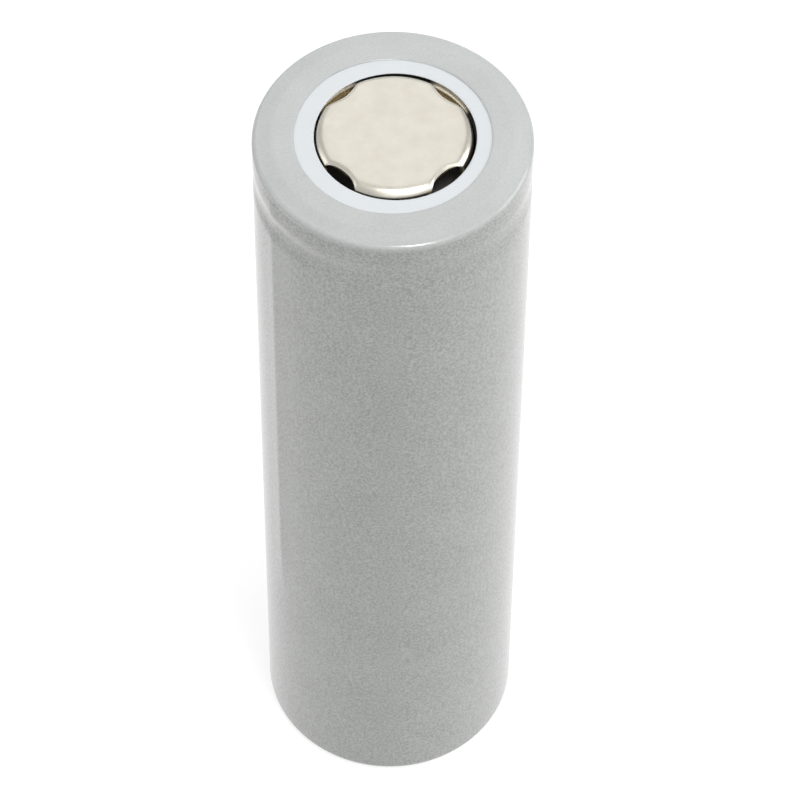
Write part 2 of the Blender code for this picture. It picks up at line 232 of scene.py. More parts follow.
class Nodes:
    """A Principled material under construction, with short ways to add its nodes."""

    def __init__(self, name, roughness, metallic=0.0, colour=(0.5, 0.5, 0.5)):
        self.material = bpy.data.materials.new(name)
        self.material.use_nodes = True
        self.tree = self.material.node_tree
        self.shader = self.tree.nodes["Principled BSDF"]
        self.set("Base Color", (*colour, 1.0))
        self.set("Roughness", roughness)
        self.set("Metallic", metallic)
        self.material.diffuse_color = (*colour, 1.0)
        self.place = self.tree.nodes.new("ShaderNodeTexCoord").outputs["Object"]

    def set(self, socket, value):
        self.shader.inputs[socket].default_value = value

    def link(self, output, socket):
        self.tree.links.new(output, socket)

    def stretched(self, scale):
        node = self.tree.nodes.new("ShaderNodeMapping")
        node.inputs["Scale"].default_value = scale
        self.link(self.place, node.inputs["Vector"])
        return node.outputs["Vector"]

    def noise(self, size_mm, detail=3.0, roughness=0.5, at=None):
        """Noise whose features are about size_mm across."""
        node = self.tree.nodes.new("ShaderNodeTexNoise")
        node.inputs["Scale"].default_value = 1.0 / (size_mm * MM)
        node.inputs["Detail"].default_value = detail
        node.inputs["Roughness"].default_value = roughness
        self.link(at or self.place, node.inputs["Vector"])
        return node.outputs["Fac"]

    def height(self):
        """Height on the cell, in metres."""
        node = self.tree.nodes.new("ShaderNodeSeparateXYZ")
        self.link(self.place, node.inputs["Vector"])
        return node.outputs["Z"]

    def vent_share(self):
        """1 at the angles of the cap's four vents, 0 between them."""
        node = self.tree.nodes.new("ShaderNodeSeparateXYZ")
        self.link(self.place, node.inputs["Vector"])
        x, y = node.outputs["X"], node.outputs["Y"]
        squares = self.math("ADD", self.math("MULTIPLY", x, x), self.math("MULTIPLY", y, y))
        across = self.math("ABSOLUTE", self.math("DIVIDE", self.math("MULTIPLY", x, y), squares), 0.0)
        return self.ramp(across, 0.39, 0.45)

    def ramp(self, value, low, high, out_low=0.0, out_high=1.0):
        node = self.tree.nodes.new("ShaderNodeMapRange")
        node.inputs["From Min"].default_value = low
        node.inputs["From Max"].default_value = high
        node.inputs["To Min"].default_value = out_low
        node.inputs["To Max"].default_value = out_high
        self.link(value, node.inputs["Value"])
        return node.outputs["Result"]

    def math(self, operation, one, two):
        node = self.tree.nodes.new("ShaderNodeMath")
        node.operation = operation
        for index, value in enumerate((one, two)):
            if isinstance(value, (int, float)):
                node.inputs[index].default_value = value
            else:
                self.link(value, node.inputs[index])
        return node.outputs["Value"]

    def mix(self, share, one, two):
        """The colour one where share is 0, and two where it is 1."""
        node = self.tree.nodes.new("ShaderNodeMix")
        node.data_type = "RGBA"
        self.link(share, node.inputs["Factor"])
        for socket, value in ((node.inputs[6], one), (node.inputs[7], two)):
            if isinstance(value, tuple):
                socket.default_value = (*value, 1.0)
            else:
                self.link(value, socket)
        return node.outputs[2]

    def bump(self, height, depth_mm, strength=1.0):
        node = self.tree.nodes.new("ShaderNodeBump")
        node.inputs["Strength"].default_value = strength
        node.inputs["Distance"].default_value = depth_mm * MM
        self.link(height, node.inputs["Height"])
        self.link(node.outputs["Normal"], self.shader.inputs["Normal"])

    def colour(self, output):
        self.link(output, self.shader.inputs["Base Color"])

    def rough(self, output):
        self.link(output, self.shader.inputs["Roughness"])


def film_material():
    """Satin grey shrink film under a glossy skin. Its pearly grain is fainter where it is drawn flat over
    the top, and there it is lighter and cooler than over the can; the lighter tone is painted light."""
    m = Nodes("shrink_film", roughness=0.5)
    grain = m.ramp(m.noise(0.17, 2.5, 0.65), 0.36, 0.64, -0.5, 0.5)
    side, top = (FILM_TOP - 0.8) * MM, (FILM_TOP - 0.3) * MM
    strength = m.ramp(m.height(), side, top, 0.52, 0.11)
    # painted light: the film's tone rises from the wall to the flat top, lighter there as if more lit
    painted_top_light = m.ramp(m.height(), side, top, 0.17, 0.46)
    clouds = m.math("MULTIPLY", m.noise(3.5, 3.0), 0.2)
    tone = m.math("ADD", m.math("ADD", m.math("MULTIPLY", grain, strength), clouds), painted_top_light)
    m.colour(m.mix(tone, (0.191, 0.194, 0.181), (0.422, 0.443, 0.441)))
    m.set("Specular IOR Level", 0.2)
    m.set("Coat Weight", 1.0)
    m.set("Coat Roughness", 0.17)
    m.set("Coat IOR", 1.5)
    m.bump(m.noise(0.30, 3.0, 0.6), 0.004, 0.4)
    return m.material


def fibre_material():
    """White pressed fibre of the end washer: matt, with short soft fibres. Its punched edge is painted
    near-black as shade in the gap round the cap, and a lit cream beside the cap's vents as painted light."""
    m = Nodes("fibre_paper", roughness=0.85)
    fibres = m.noise(0.12, 4.0, 0.65)
    patches = m.noise(1.6, 3.0)
    tone = m.math("ADD", m.math("MULTIPLY", fibres, 0.5), m.math("MULTIPLY", patches, 0.5))
    white = m.mix(tone, (0.41, 0.43, 0.445), (0.46, 0.48, 0.495))
    # painted shade and light: the hole's inner wall is near-black between the vents and a lit cream beside
    # them
    edge = m.mix(m.vent_share(), (0.035, 0.035, 0.028), (0.74, 0.64, 0.47))
    m.colour(m.mix(m.ramp(m.height(), (WASHER_TOP - 0.07) * MM, (WASHER_TOP - 0.02) * MM), edge, white))
    m.bump(fibres, 0.012, 0.5)
    return m.material


def cap_material():
    """Warm nickel plating on pressed steel: faint mottling and hairlines. Low round the wall's foot it is
    painted near-black as shade in the gap under the washer, and a warm tan on the ledges that its vents
    leave."""
    m = Nodes("nickel_plated_steel", roughness=0.20, metallic=1.0)
    mottle = m.ramp(m.noise(1.3, 3.0, 0.55), 0.3, 0.7)
    plain_plating = m.mix(mottle, (0.71, 0.675, 0.59), (0.78, 0.745, 0.66))
    foot = FLANGE_BOTTOM + FLANGE
    # painted shade: near-black round the wall's foot between the vents, a warm tan on the ledges at the
    # vents
    painted_foot_shade = m.mix(m.vent_share(), (0.05, 0.042, 0.032), (0.66, 0.58, 0.44))
    m.colour(m.mix(m.ramp(m.height(), (foot + 0.25) * MM, (foot + 0.75) * MM), painted_foot_shade, plain_plating))
    m.rough(m.ramp(m.noise(0.6, 3.0, 0.6), 0.3, 0.7, 0.26, 0.33))
    scratches = m.noise(0.25, 2.0, 0.5, at=m.stretched((6.0, 0.35, 1.0)))
    m.bump(scratches, 0.002, 0.25)
    return m.material


def can_material():
    """Nickel-plated drawn steel: satin, with lines along the draw and a cooler tone than the cap."""
    m = Nodes("can_steel", roughness=0.28, metallic=1.0)
    mottle = m.ramp(m.noise(1.4, 4.0, 0.6), 0.3, 0.7)
    m.colour(m.mix(mottle, (0.60, 0.59, 0.56), (0.70, 0.69, 0.66)))
    lines = m.noise(0.15, 2.0, 0.5, at=m.stretched((1.0, 1.0, 0.04)))
    m.rough(m.ramp(lines, 0.3, 0.7, 0.22, 0.36))
    m.bump(lines, 0.004, 0.4)
    return m.material


def metal_material(name, dark, light, roughness, size_mm=0.5):
    """Rolled or pressed sheet metal, its tone and gloss a little uneven."""
    m = Nodes(name, roughness=roughness, metallic=1.0)
    patches = m.ramp(m.noise(size_mm, 4.0, 0.6), 0.3, 0.7)
    m.colour(m.mix(patches, dark, light))
    grain = m.noise(0.10, 3.0, 0.6)
    m.rough(m.ramp(grain, 0.3, 0.7, roughness - 0.06, roughness + 0.08))
    m.bump(grain, 0.003, 0.4)
    return m.material


def plastic_material(name, dark, light, roughness, size_mm=0.8):
    """Moulded or cast polymer with a little mottling and a fine skin."""
    m = Nodes(name, roughness=roughness)
    patches = m.ramp(m.noise(size_mm, 3.0, 0.5), 0.3, 0.7)
    m.colour(m.mix(patches, dark, light))
    skin = m.noise(0.08, 3.0, 0.6)
    m.rough(m.ramp(skin, 0.3, 0.7, roughness - 0.05, roughness + 0.06))
    m.bump(skin, 0.003, 0.4)
    return m.material


def gasket_material():
    """Milky nylon, its lip painted near-black as shade between the vents, where the cap's wall is close to
    it.
    """
    m = Nodes("gasket_plastic", roughness=0.42)
    milky = m.mix(m.ramp(m.noise(0.8, 3.0, 0.5), 0.3, 0.7), (0.86, 0.79, 0.64), (0.93, 0.86, 0.72))
    # painted shade: the lip's top is near-black between the vents and its own milky colour at them
    shaded_lip = m.mix(m.vent_share(), (0.04, 0.036, 0.028), milky)
    m.colour(m.mix(m.ramp(m.height(), (GASKET_TOP - 0.6) * MM, (GASKET_TOP - 0.5) * MM), milky, shaded_lip))
    m.bump(m.noise(0.08, 3.0, 0.6), 0.003, 0.4)
    return m.material


def make_materials():
    return {
        "film": film_material(),
        "fibre": fibre_material(),
        "cap": cap_material(),
        "can": can_material(),
        "gasket": gasket_material(),
        "resistor": plastic_material("resistor_polymer", (0.02, 0.02, 0.02), (0.04, 0.04, 0.04), 0.55),
        "insulator": plastic_material("insulator_plastic", (0.70, 0.71, 0.68), (0.80, 0.81, 0.78), 0.55),
        "tape": plastic_material("polyimide_tape", (0.48, 0.24, 0.04), (0.60, 0.33, 0.07), 0.30),
        "separator": plastic_material("separator_film", (0.84, 0.85, 0.86), (0.92, 0.93, 0.94), 0.50),
        "cathode": plastic_material(
            "cathode_coating", (0.022, 0.022, 0.025), (0.045, 0.045, 0.05), 0.72, 0.25),
        "anode": plastic_material("anode_coating", (0.055, 0.055, 0.060), (0.09, 0.09, 0.095), 0.66, 0.25),
        "aluminium": metal_material("aluminium_sheet", (0.74, 0.74, 0.75), (0.84, 0.84, 0.85), 0.34),
        # painted shade: the vent disc is dark grey, far darker than the other aluminium, for the shade seen
        # through the cap's vents
        "vent": metal_material("vent_disc_shaded_aluminium", (0.20, 0.195, 0.19), (0.30, 0.295, 0.29), 0.50),
        "copper": metal_material("copper_foil", (0.72, 0.38, 0.26), (0.82, 0.46, 0.33), 0.32),
        "nickel": metal_material("nickel_strip", (0.60, 0.58, 0.53), (0.68, 0.66, 0.60), 0.32),
        "pin": metal_material("pin_steel", (0.56, 0.56, 0.55), (0.66, 0.66, 0.65), 0.30),
    }


# ---------------------------------------------------------------- the outside


def film_slope(radius):
    """How far the film has sloped down off the washer at a radius: a straight slope with eased ends."""
    start = WASHER_RADIUS + 0.22
    length = FILM_RADIUS - FILM_SHOULDER - start
    ease = np.linspace(-0.12, 0.12, 9)
    return FILM_RIM_DROP * float(np.mean(np.clip((radius + ease - start) / length, 0.0, 1.0)))


def film_profile():
    """The film's (outer, inner) lines, from the top hole over the rim and bead to the foot's hole."""
    straight = BEAD_Z - 3.0
    corner = (FILM_RADIUS - FILM_SHOULDER, FILM_TOP - FILM_RIM_DROP - FILM_SHOULDER)
    foot = (FILM_RADIUS - FILM_FOOT, FILM_FOOT)
    lines = []
    for inset in (0.0, FILM):
        outer = FILM_RADIUS - inset
        flat = np.arange(FILM_HOLE, corner[0] - 0.05, 0.10)
        line = [(float(r), FILM_TOP - inset - float(film_slope(r))) for r in flat]
        if inset == 0.0:
            line[0] = (FILM_HOLE, FILM_TOP - 0.05)
        line += arc(corner, FILM_SHOULDER - inset, 84, 0, 12)
        heights = np.arange(corner[1] - 0.12, straight, -0.12)
        line += [(outer, float(z)) for z in heights]
        line += dense([(outer, straight - 0.1), (outer, foot[1])], 1.5)[:-1]
        line += arc(foot, FILM_FOOT - inset, 0, -90, 10)
        line += dense([(foot[0], inset), (FILM_FOOT_HOLE, inset)], 0.12)[1:]
        lines.append(line)
    return lines


def waist(z):
    """How far the film is drawn in over the bead, as a share of the most."""
    return smooth_step(z, BEAD_Z - 1.4, BEAD_Z - 0.2) * (1 - smooth_step(z, BEAD_Z + 0.2, BEAD_Z + 1.6))


def drawn_in(angle, z):
    """How far the shrunk film lies inside the full radius on the wall: over the bead, and in a slight taper
    up to the rim. It is more on the side where the film shrank hardest."""
    hardest = bump(angle, math.radians(235.0), math.radians(55.0))
    taper = RIM_TAPER * hardest * smooth_step(z, 62.9, 64.2)
    return waist(z) * (WAIST_LEAST + WAIST_EXTRA * hardest) + taper


def can_side(z):
    """The can's outer radius at a height on its wall, with the bead pressed into it."""
    wave = 0.5 + 0.5 * math.cos(min(1.0, abs(z - BEAD_Z) / BEAD_HALF) * math.pi)
    return CAN_RADIUS - BEAD_DEPTH * wave ** 0.8


def fold_rise(angle, radius, z):
    """How far the film stands out along a lengthwise fold: two flats that meet in a low ridge."""
    half = math.radians(FOLD_HALF_ANGLE)
    away = np.abs(angle - math.radians(FOLD_ANGLE))
    ridge = radius / np.cos(np.clip(half - away, 0.0, half)) - radius
    return ridge * smooth_step(z, 17.0, 24.0) * (1 - 0.6 * waist(z)) * (1 - smooth_step(z, 63.4, 64.2))


def make_sleeve(material):
    outer, inner = film_profile()

    def warp(angle, radius, height):
        level = height[0]
        flat = level > FILM_TOP - 0.2 and radius[0] < WASHER_RADIUS
        foot = level < 0.2
        near_hole = 1 - smooth_step(radius, FILM_HOLE, FILM_HOLE + 1.1)
        near_foot_hole = 1 - smooth_step(radius, FILM_FOOT_HOLE, FILM_FOOT_HOLE + 0.7)
        if flat:
            waves = 0.050 * ripple(angle, 3, range(2, 9)) + 0.018 * ripple(angle, 4, range(9, 40), 0.3)
            radius = radius + near_hole * waves
            height = height - near_hole * 0.030 * (1 + ripple(angle, 5, range(2, 8)))
            crease = bump(angle, math.radians(FOLD_ANGLE), 0.020) * bump(radius, FILM_HOLE + 0.25, 0.35)
            height = np.maximum(height + 0.10 * crease, WASHER_TOP + FILM_CLEARANCE)
        elif foot:
            waves = 0.09 * ripple(angle, 6, range(3, 14)) + 0.03 * ripple(angle, 7, range(14, 50), 0.3)
            radius = radius + near_foot_hole * waves
        elif level < FILM_TOP - FILM_RIM_DROP - FILM_SHOULDER:
            inside = radius[0] < FILM_RADIUS - FILM / 2
            radius = radius - drawn_in(angle, level) + fold_rise(angle, radius, level)
            if inside:
                radius = np.maximum(radius, can_side(level) + FILM_CLEARANCE)
        return radius, height

    piece = lathe("shrink_sleeve", outer + inner[::-1], closed=True, warp=warp)
    return place(piece, "cell", "sleeve", "shrink_film", material)


def make_washer(material):
    """The punched washer: its hole is a little wider underneath, as a punch leaves it."""
    edge = 0.05
    undercut = 0.15
    profile = [(WASHER_HOLE, WASHER_TOP - edge), (WASHER_HOLE + 0.015, WASHER_TOP - 0.018)]
    profile += dense([(WASHER_HOLE + edge, WASHER_TOP), (WASHER_RADIUS, WASHER_TOP)], 0.2)
    profile += dense([(WASHER_RADIUS, WASHER_BOTTOM), (WASHER_HOLE + undercut, WASHER_BOTTOM)], 1.0)

    def warp(angle, radius, height):
        near = 1 - smooth_step(radius, WASHER_HOLE, WASHER_HOLE + 0.4)
        return radius + near * 0.015 * ripple(angle, 11, range(2, 30), 0.5), height

    piece = lathe("fibre_washer", profile, warp=warp)
    piece.data.transform(Matrix.Translation((off_axis("top_washer"), 0.0, 0.0)))
    return place(piece, "cell", "top_washer", "fibre_paper", material)


def make_can(material):
    corner = 0.50
    rim_z = CAN_BOTTOM + 0.04
    floor_z = CAN_BOTTOM + 0.30

    def groove(inset):
        """The bead's line from above to below, on the outer side, or inset by the wall's thickness."""
        half = BEAD_HALF + inset * 0.3
        heights = np.linspace(BEAD_Z + half, BEAD_Z - half, 25)
        wave = 0.5 + 0.5 * np.cos(np.clip((heights - BEAD_Z) / half, -1, 1) * math.pi)
        radii = CAN_RADIUS - inset - BEAD_DEPTH * wave ** 0.8
        return [(float(r), float(z)) for r, z in zip(radii, heights)]

    inner = CAN_RADIUS - CAN_WALL
    lip_bottom = CAN_TOP - CAN_WALL
    profile = dense([(0.0, floor_z), (CAN_RADIUS - corner, floor_z)], 1.0)[:-1]
    profile += arc((CAN_RADIUS - corner, floor_z + corner - CAN_WALL), corner - CAN_WALL, -90, 0)
    profile += groove(CAN_WALL)[::-1]
    profile += [(inner, lip_bottom - 0.08), (inner - 0.08, lip_bottom), (LIP_RADIUS + 0.05, lip_bottom)]
    profile += [(LIP_RADIUS, lip_bottom + 0.05), (LIP_RADIUS, CAN_TOP - 0.05), (LIP_RADIUS + 0.05, CAN_TOP)]
    profile += arc((CAN_RADIUS - 0.33, CAN_TOP - 0.33), 0.33, 90, 0)
    profile += groove(0.0)
    profile += arc((CAN_RADIUS - corner, rim_z + corner), corner, 0, -90, 10)
    profile += [(7.40, rim_z)]
    profile += dense([(7.10, CAN_BOTTOM), (0.0, CAN_BOTTOM)], 0.6)
    piece = lathe("drawn_can", profile, closed=False)
    return place(piece, "cell", "can", "can_steel", material)


def make_gasket(material):
    bore = PTC_RADIUS + 0.05
    top = GASKET_TOP
    foot_top = GASKET_BOTTOM + 0.46
    edge = 0.08
    chamfer = GASKET_LIP / 2
    hole = GASKET_HOLE
    foot = GASKET_FOOT_HOLE
    profile = [(hole + edge, top), (hole, top - edge), (hole, top - chamfer)]
    profile += [(hole + chamfer, top - GASKET_LIP), (bore, top - GASKET_LIP), (bore, foot_top)]
    profile += [(foot + edge, foot_top), (foot, foot_top - edge)]
    profile += [(foot, GASKET_BOTTOM + edge), (foot + edge, GASKET_BOTTOM)]
    profile += arc((GASKET_RADIUS - 0.20, GASKET_BOTTOM + 0.22), 0.20, -80, 0, 5)
    profile += arc((GASKET_RADIUS - 0.27, top - 0.27), 0.27, 0, 90, 6)
    piece = lathe("gasket", profile, segments=FINE)
    return place(piece, "cell", "crimp_gasket", "gasket_plastic", material)


def cap_limit(offset, bite_half, reach, wall):
    """How far out the cap's top reaches at an angle from a vent's middle: the bite's edge, or the wall."""
    if offset >= bite_half:
        return wall
    across = reach * math.cos(offset)
    return across - math.sqrt(VENT_CUT_RADIUS ** 2 - (reach * math.sin(offset)) ** 2)


def make_positive_cap(material):
    """The cap as one sheet of plated steel, open at its vents, given its thickness by Solidify."""
    flange_top = FLANGE_BOTTOM + FLANGE
    fillet = 0.10
    lip_drop = 0.13
    lip_width = 0.22
    reach = VENT_CUT_REACH + VENT_CUT_RADIUS
    wall = PLATEAU_RADIUS + SHOULDER
    bite_half = math.acos((wall ** 2 + reach ** 2 - VENT_CUT_RADIUS ** 2) / (2 * wall * reach))
    quarter = TAU / VENT_COUNT
    angles = []
    for index in range(VENT_COUNT):
        start = quarter * (index + 0.5) - bite_half
        angles += list(start + 2 * bite_half * np.arange(24) / 24)
        angles += list(start + 2 * bite_half + (quarter - 2 * bite_half) * np.arange(56) / 56)
    offsets = [abs(((angle - quarter / 2) + quarter / 2) % quarter - quarter / 2) for angle in angles]

    def crown(radius):
        """Height over a radius: flat, then a shoulder that starts to bend gently and ends upright."""
        share = min(1.0, max(0.0, (radius - wall + SHOULDER_WIDTH) / SHOULDER_WIDTH))
        return PLATEAU_TOP - SHOULDER * (1 - (1 - share ** SHOULDER_POWER) ** (1 / SHOULDER_POWER))

    flat_shares = np.linspace(0, 0.80, 13)[1:]
    bent_shares = 0.80 + 0.20 * np.sin(np.linspace(0, math.pi / 2, 19)[1:])
    shares = np.concatenate([flat_shares, bent_shares])
    skirt = [(wall + 0.01, flange_top + 0.42), (wall + 0.02, flange_top + 0.24)]
    skirt += [(wall + 0.04, flange_top + fillet)]
    skirt += arc((wall + 0.04 + fillet, flange_top + fillet), fillet, 180, 270, 6)[1:]
    skirt += dense([(wall + 0.14, flange_top), (CAP_RADIUS, flange_top)], 0.5)[1:]
    vertices = [(0.0, 0.0, PLATEAU_TOP)]
    columns = []
    for angle, offset in zip(angles, offsets):
        limit = cap_limit(offset, bite_half, reach, wall)
        column = []
        for share in shares:
            radius = share * limit
            height = crown(radius)
            if offset < bite_half:
                near_bite = math.exp(-(((limit - radius) / lip_width) ** 2))
                height -= lip_drop * near_bite * (1 - offset / bite_half) ** 0.5
            column.append(len(vertices))
            vertices.append((radius * math.cos(angle), radius * math.sin(angle), height))
        for radius, height in skirt:
            column.append(len(vertices))
            vertices.append((radius * math.cos(angle), radius * math.sin(angle), height))
        columns.append(column)
    faces = []
    top_rows = len(shares)
    for i, column in enumerate(columns):
        j = (i + 1) % len(columns)
        beside = columns[j]
        faces.append((0, column[0], beside[0]))
        middle = (offsets[i] + offsets[j]) / 2
        for row in range(len(column) - 1):
            if middle < bite_half and row in (top_rows - 1, top_rows, top_rows + 1):
                continue
            faces.append((column[row], column[row + 1], beside[row + 1], beside[row]))
    piece = finish_mesh("positive_terminal_cap", vertices, faces, 30.0)
    piece.data.transform(Matrix.Translation((off_axis("positive_cap"), 0.0, 0.0)))
    solid = piece.modifiers.new("thickness", "SOLIDIFY")
    solid.thickness = FLANGE * MM
    solid.offset = -1.0
    solid.use_even_offset = True
    soften = piece.modifiers.new("sheared_edges", "BEVEL")
    soften.width = 0.045 * MM
    soften.segments = 3
    soften.limit_method = "ANGLE"
    soften.angle_limit = math.radians(42.0)
    return place(piece, "cell", "positive_cap", "cap_steel", material)


# ---------------------------------------------------------------- the header, under the cap


def make_ptc_ring(polymer, metal):
    hole = 4.90
    foil = 0.05
    profile = dense([(hole, PTC_TOP), (PTC_RADIUS, PTC_TOP)], 0.5)
    profile += [(PTC_RADIUS, PTC_TOP - foil), (PTC_RADIUS, PTC_BOTTOM + foil)]
    profile += dense([(PTC_RADIUS, PTC_BOTTOM), (hole, PTC_BOTTOM)], 0.5)
    profile += [(hole, PTC_BOTTOM + foil), (hole, PTC_TOP - foil)]
    piece = lathe("resistor_ring", profile, segments=FINE)
    place(piece, "cell", "ptc_ring", "resistor_polymer", polymer, metal)
    middle = (PTC_TOP + PTC_BOTTOM) / 2 * MM
    for face in piece.data.polygons:
        face.material_index = int(abs(face.center.z - middle) > 0.10 * MM)
    return piece


def make_vent_disc(material):
    shelf_top = SHELF_BOTTOM + 0.20
    flange_bottom = VENT_TOP - 0.30
    hole = SCORE_RADIUS + 0.05
    step = 4.90
    profile = dense([(hole, shelf_top - 0.03), (hole + 0.06, shelf_top), (step - 0.45, shelf_top)], 0.4)
    profile += [(step - 0.33, shelf_top + 0.04), (step - 0.28, shelf_top + 0.12)]
    profile += [(step - 0.17, VENT_TOP - 0.10), (step - 0.10, VENT_TOP - 0.02)]
    profile += dense([(step, VENT_TOP), (VENT_RADIUS - 0.04, VENT_TOP)], 0.6)
    profile += [(VENT_RADIUS, VENT_TOP - 0.04), (VENT_RADIUS, flange_bottom + 0.04)]
    profile += [(VENT_RADIUS - 0.04, flange_bottom)]
    profile += dense([(step + 0.05, flange_bottom), (step, flange_bottom - 0.02)], 0.6)
    profile += [(step - 0.15, SHELF_BOTTOM + 0.03), (step - 0.20, SHELF_BOTTOM)]
    shelf = [(step - 0.4, SHELF_BOTTOM), (hole + 0.02, SHELF_BOTTOM), (hole, SHELF_BOTTOM + 0.02)]
    profile += dense(shelf, 0.5)
    piece = lathe("vent_disc_rim", profile, segments=FINE)
    return place(piece, "cell", "vent_disc", "aluminium_sheet", material)


def make_vent_disc_centre(material):
    """The scored middle of the disc, with the dimple that is welded to the plate."""
    thickness = 0.12
    depth = 0.28
    radii = np.linspace(0.0, SCORE_RADIUS, 27)
    drop = depth * (1 - smooth_step(radii, 0.75, 1.55))
    groove = 0.035 * bump(radii, 2.05, 0.07)
    top = [(float(r), DIMPLE_TOP - float(d) - float(g)) for r, d, g in zip(radii, drop, groove)]
    bottom = [(float(r), DIMPLE_TOP - thickness - float(d)) for r, d in zip(radii, drop)]
    piece = lathe("vent_disc_dimple", top + bottom[::-1], segments=FINE, closed=False)
    return place(piece, "cid_disc", "vent_disc_centre", "aluminium_sheet", material)


def make_cid_ring(material):
    bore = RING_RADIUS - 0.30
    shelf_bottom = PLATE_TOP + 0.02
    shelf_top = shelf_bottom + 0.20
    edge = 0.04
    profile = [(bore, RING_TOP - edge), (bore + edge, RING_TOP), (RING_RADIUS - edge, RING_TOP)]
    profile += dense([(RING_RADIUS, RING_TOP - edge), (RING_RADIUS, RING_BOTTOM + edge)], 0.3)
    profile += [(RING_RADIUS - edge, RING_BOTTOM), (bore + edge, RING_BOTTOM), (bore, RING_BOTTOM + edge)]
    profile += [(bore, shelf_bottom)]
    profile += dense([(3.30 + edge, shelf_bottom), (3.30, shelf_bottom + edge)], 0.5)
    profile += [(3.30, shelf_top - edge), (3.30 + edge, shelf_top), (bore, shelf_top)]
    piece = lathe("interrupt_insulator", profile, segments=FINE)
    return place(piece, "cell", "cid_insulating_ring", "insulator_plastic", material)


def holed_disc(name, radius, bottom, top, holes, edge):
    """A flat disc with round holes, given as (x, y, radius), and softened edges."""
    outline = bpy.data.curves.new(name, "CURVE")
    outline.dimensions = "2D"
    outline.fill_mode = "BOTH"
    outline.extrude = ((top - bottom) / 2 - edge) * MM
    outline.bevel_depth = edge * MM
    outline.bevel_resolution = 2
    for x, y, size, inward in [(0.0, 0.0, radius, -1)] + [(*hole, 1) for hole in holes]:
        count = FINE if size > 2 else 64
        spline = outline.splines.new("POLY")
        spline.points.add(count - 1)
        spline.use_cyclic_u = True
        for index, point in enumerate(spline.points):
            angle = TAU * index / count
            line = size + inward * edge
            point.co = ((x + line * math.cos(angle)) * MM, (y + line * math.sin(angle)) * MM, 0.0, 1.0)
    flat = bpy.data.objects.new(name + "_outline", outline)
    bpy.context.scene.collection.objects.link(flat)
    evaluated = flat.evaluated_get(bpy.context.evaluated_depsgraph_get())
    mesh = bpy.data.meshes.new_from_object(evaluated)
    bpy.data.objects.remove(flat)
    mesh.transform(Matrix.Translation((0.0, 0.0, (bottom + top) / 2 * MM)))
    shape = bmesh.new()
    shape.from_mesh(mesh)
    bmesh.ops.remove_doubles(shape, verts=shape.verts, dist=1e-7)
    shape.to_mesh(mesh)
    shape.free()
    mesh.shade_smooth()
    mesh.set_sharp_from_angle(angle=math.radians(38.0))
    piece = bpy.data.objects.new(name, mesh)
    bpy.context.scene.collection.objects.link(piece)
    return piece


def on_circle(radius, count, first_degrees, size):
    angles = [math.radians(first_degrees + 360.0 * index / count) for index in range(count)]
    return [(radius * math.cos(a), radius * math.sin(a), size) for a in angles]


def make_discs(metal, plastic):
    edge = 0.03
    holes = on_circle(2.90, 4, 45.0, 0.45)
    plate = holed_disc("interrupt_plate", PLATE_RADIUS, PLATE_BOTTOM, PLATE_TOP, holes, edge)
    place(plate, "cell", "cid_plate", "aluminium_sheet", metal)
    holes = [(0.0, 0.0, 2.30)] + on_circle(5.40, 3, 90.0, 1.10)
    upper = holed_disc("insulator_above_roll", UPPER_RADIUS, UPPER_BOTTOM, UPPER_TOP, holes, edge)
    place(upper, "cell", "upper_insulator", "insulator_plastic", plastic)
    holes = [(0.0, 0.0, 1.50)]
    lower = holed_disc("insulator_below_roll", LOWER_RADIUS, LOWER_BOTTOM, LOWER_TOP, holes, edge)
    place(lower, "cell", "lower_insulator", "insulator_plastic", plastic)


# ---------------------------------------------------------------- the wound roll

ROLL_INNER = 2.20
ROLL_OUTER = 8.40
REAL_TURNS = 17
WOUND = 48
SEPARATOR = 0.020
WINDING_GAP = 0.004


def wound_sheet(name, inner, pitch, angles, heights, thickness):
    """A sheet wound about the axis as one closed strip: its inner face starts at the inner radius."""
    start, end = angles
    steps = max(1, round((end - start) * WOUND / 360.0))
    vertices = []
    for step in range(steps + 1):
        degrees = start + (end - start) * step / steps
        radius = inner + pitch * degrees / 360.0
        turn = math.radians(degrees)
        low, high = heights
        outer = radius + thickness
        for r, z in ((radius, low), (outer, low), (outer, high), (radius, high)):
            vertices.append((r * math.cos(turn), r * math.sin(turn), z))
    faces = [(0, 3, 2, 1)]
    for step in range(steps):
        a, b = 4 * step, 4 * step + 4
        for k in range(4):
            n = (k + 1) % 4
            faces.append((a + k, a + n, b + n, b + k))
    last = 4 * steps
    faces.append((last, last + 1, last + 2, last + 3))
    return finish_mesh(name, vertices, faces, 30.0)


def node_heights(node):
    low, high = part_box(node)
    return low.z / MM, high.z / MM


def bare_foil(piece, from_end, turns):
    """Gives the first or last turns of a wound electrode its bare foil, the second material."""
    count = int(turns * WOUND) * 4
    polygons = piece.data.polygons
    chosen = range(len(polygons) - count, len(polygons)) if from_end else range(count)
    for index in chosen:
        polygons[index].material_index = 1


